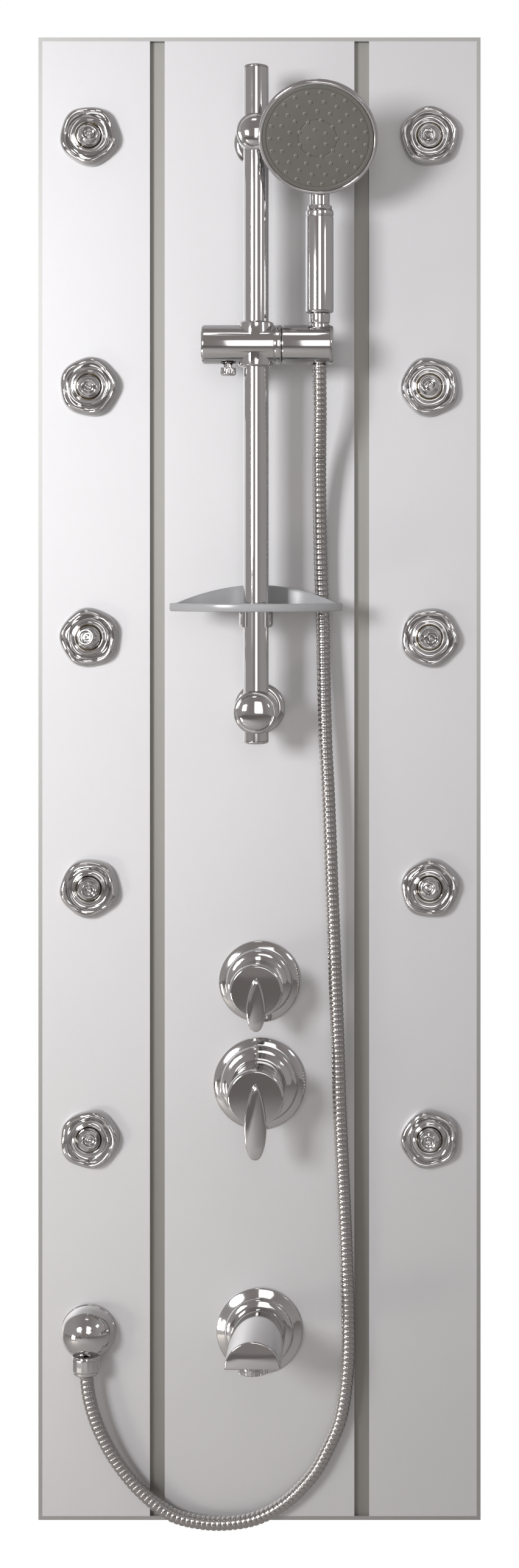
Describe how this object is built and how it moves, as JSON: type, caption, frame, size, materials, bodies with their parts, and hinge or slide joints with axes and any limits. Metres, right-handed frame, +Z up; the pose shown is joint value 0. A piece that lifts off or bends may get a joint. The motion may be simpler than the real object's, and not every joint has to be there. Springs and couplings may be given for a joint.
{
  "type": "shower panel column",
  "caption": "Wall-hung shower panel with slide rail and hand shower, body jets, soap dish, diverter, mixer and bath spout.",
  "frame": {"origin": "middle of the four wall-fixing holes, on the wall plane behind the panel", "axes": "+X to the right seen from the front, -Y out of the wall towards the user, +Z up"},
  "size_m": [0.45, 0.1787, 1.5164],
  "materials": {
    "panel_aluminium": "satin anodised",
    "groove_aluminium": "grey anodised",
    "edge_aluminium": "satin anodised",
    "bracket_steel": "zinc plated",
    "chrome": "polished",
    "chromed_plastic": "polished chrome on plastic",
    "hose_steel": "polished, interlocked",
    "face_plastic": "satin grey",
    "nozzle_rubber": "soft silicone",
    "dish_plastic": "smoke grey, slightly see-through",
    "brass": "machined"
  },
  "bodies": {
    "root": {"centre_panel": "panel_aluminium", "left_wing_panel": "panel_aluminium", "right_wing_panel": "panel_aluminium", "left_groove_channel": "groove_aluminium", "right_groove_channel": "groove_aluminium", "left_side_profile": "edge_aluminium", "right_side_profile": "edge_aluminium", "top_cap": "edge_aluminium", "bottom_cap": "edge_aluminium", "upper_wall_bracket": "bracket_steel", "lower_wall_bracket": "bracket_steel", "panel_hangers": "edge_aluminium", "channel_screws": "bracket_steel", "rail_tube": "chrome", "rail_end_plugs": "chrome", "upper_rail_bracket": "chrome", "lower_rail_bracket": "chrome", "rail_bracket_flanges": "chrome", "rail_bracket_nuts": "bracket_steel", "shower_hose": "hose_steel", "hose_outlet_nut": "chrome", "hose_outlet": "chrome", "hose_outlet_nut_ring": "bracket_steel", "diverter_cover": "chrome", "diverter_valve": "brass", "mixer_cover": "chrome", "mixer_valve": "brass", "spout_flange": "chrome", "spout_body": "chrome", "spout_aerator": "chrome", "feed_pipes": "brass", "left_jet_manifold": "brass", "right_jet_manifold": "brass", "jet_roses": "chrome", "jet_sockets": "brass"},
    "slider": {"slider_body": "chrome"},
    "button": {"slider_button": "chrome", "slider_spring": "bracket_steel"},
    "holder": {"handset_holder": "chrome"},
    "handset": {"handset_head": "chromed_plastic", "handset_grip": "chrome", "handset_face": "face_plastic", "handset_nozzles": "nozzle_rubber", "hose_cone_nut": "chrome"},
    "dish": {"soap_dish": "dish_plastic", "soap_dish_clamp": "chrome"},
    "diverter_knob": {"diverter_knob": "chrome", "diverter_spindle": "brass"},
    "mixer_knob": {"mixer_knob": "chrome", "mixer_spindle": "brass"},
    "jet_1": {"jet_ball_1": "chrome"},
    "jet_2": {"jet_ball_2": "chrome"},
    "jet_3": {"jet_ball_3": "chrome"},
    "jet_4": {"jet_ball_4": "chrome"},
    "jet_5": {"jet_ball_5": "chrome"},
    "jet_6": {"jet_ball_6": "chrome"},
    "jet_7": {"jet_ball_7": "chrome"},
    "jet_8": {"jet_ball_8": "chrome"},
    "jet_9": {"jet_ball_9": "chrome"},
    "jet_10": {"jet_ball_10": "chrome"}
  },
  "joints": [
    {"name": "slider_slide", "type": "slide", "parent": "root", "child": "slider", "axis": [0, 0, 1], "range_m": [-0.11, 0.14], "deforming": ["shower_hose"]},
    {"name": "holder_tilt", "type": "hinge", "parent": "slider", "child": "holder", "pos_m": [0.026, -0.107, 0.437], "axis": [1, 0, 0], "range_deg": [-2, 45]},
    {"name": "handset_lift", "type": "slide", "parent": "holder", "child": "handset", "axis": [0, 0, 1], "range_m": [0, 0.06]},
    {"name": "slider_release", "type": "slide", "parent": "slider", "child": "button", "axis": [0, 0, 1], "range_m": [0, 0.003], "stiffness_N_per_m": 600, "springref_m": -0.005, "deforming": ["slider_spring"]},
    {"name": "dish_slide", "type": "slide", "parent": "root", "child": "dish", "axis": [0, 0, 1], "range_m": [-0.05, 0.08]},
    {"name": "diverter_turn", "type": "hinge", "parent": "root", "child": "diverter_knob", "pos_m": [0, -0.119, -0.206], "axis": [0, -1, 0], "range_deg": [-90, 90]},
    {"name": "mixer_turn", "type": "hinge", "parent": "root", "child": "mixer_knob", "pos_m": [0, -0.13, -0.31], "axis": [0, -1, 0], "range_deg": [0, 180]},
    {"name": "jet_1_tilt", "type": "hinge", "parent": "root", "child": "jet_1", "pos_m": [-0.173, -0.056, -0.366], "axis": [1, 0, 0], "range_deg": [-15, 15]},
    {"name": "jet_2_tilt", "type": "hinge", "parent": "root", "child": "jet_2", "pos_m": [-0.173, -0.056, -0.111], "axis": [1, 0, 0], "range_deg": [-15, 15]},
    {"name": "jet_3_tilt", "type": "hinge", "parent": "root", "child": "jet_3", "pos_m": [-0.173, -0.056, 0.144], "axis": [1, 0, 0], "range_deg": [-15, 15]},
    {"name": "jet_4_tilt", "type": "hinge", "parent": "root", "child": "jet_4", "pos_m": [-0.173, -0.056, 0.399], "axis": [1, 0, 0], "range_deg": [-15, 15]},
    {"name": "jet_5_tilt", "type": "hinge", "parent": "root", "child": "jet_5", "pos_m": [-0.173, -0.056, 0.654], "axis": [1, 0, 0], "range_deg": [-15, 15]},
    {"name": "jet_6_tilt", "type": "hinge", "parent": "root", "child": "jet_6", "pos_m": [0.173, -0.056, -0.366], "axis": [1, 0, 0], "range_deg": [-15, 15]},
    {"name": "jet_7_tilt", "type": "hinge", "parent": "root", "child": "jet_7", "pos_m": [0.173, -0.056, -0.111], "axis": [1, 0, 0], "range_deg": [-15, 15]},
    {"name": "jet_8_tilt", "type": "hinge", "parent": "root", "child": "jet_8", "pos_m": [0.173, -0.056, 0.144], "axis": [1, 0, 0], "range_deg": [-15, 15]},
    {"name": "jet_9_tilt", "type": "hinge", "parent": "root", "child": "jet_9", "pos_m": [0.173, -0.056, 0.399], "axis": [1, 0, 0], "range_deg": [-15, 15]},
    {"name": "jet_10_tilt", "type": "hinge", "parent": "root", "child": "jet_10", "pos_m": [0.173, -0.056, 0.654], "axis": [1, 0, 0], "range_deg": [-15, 15]}
  ]
}
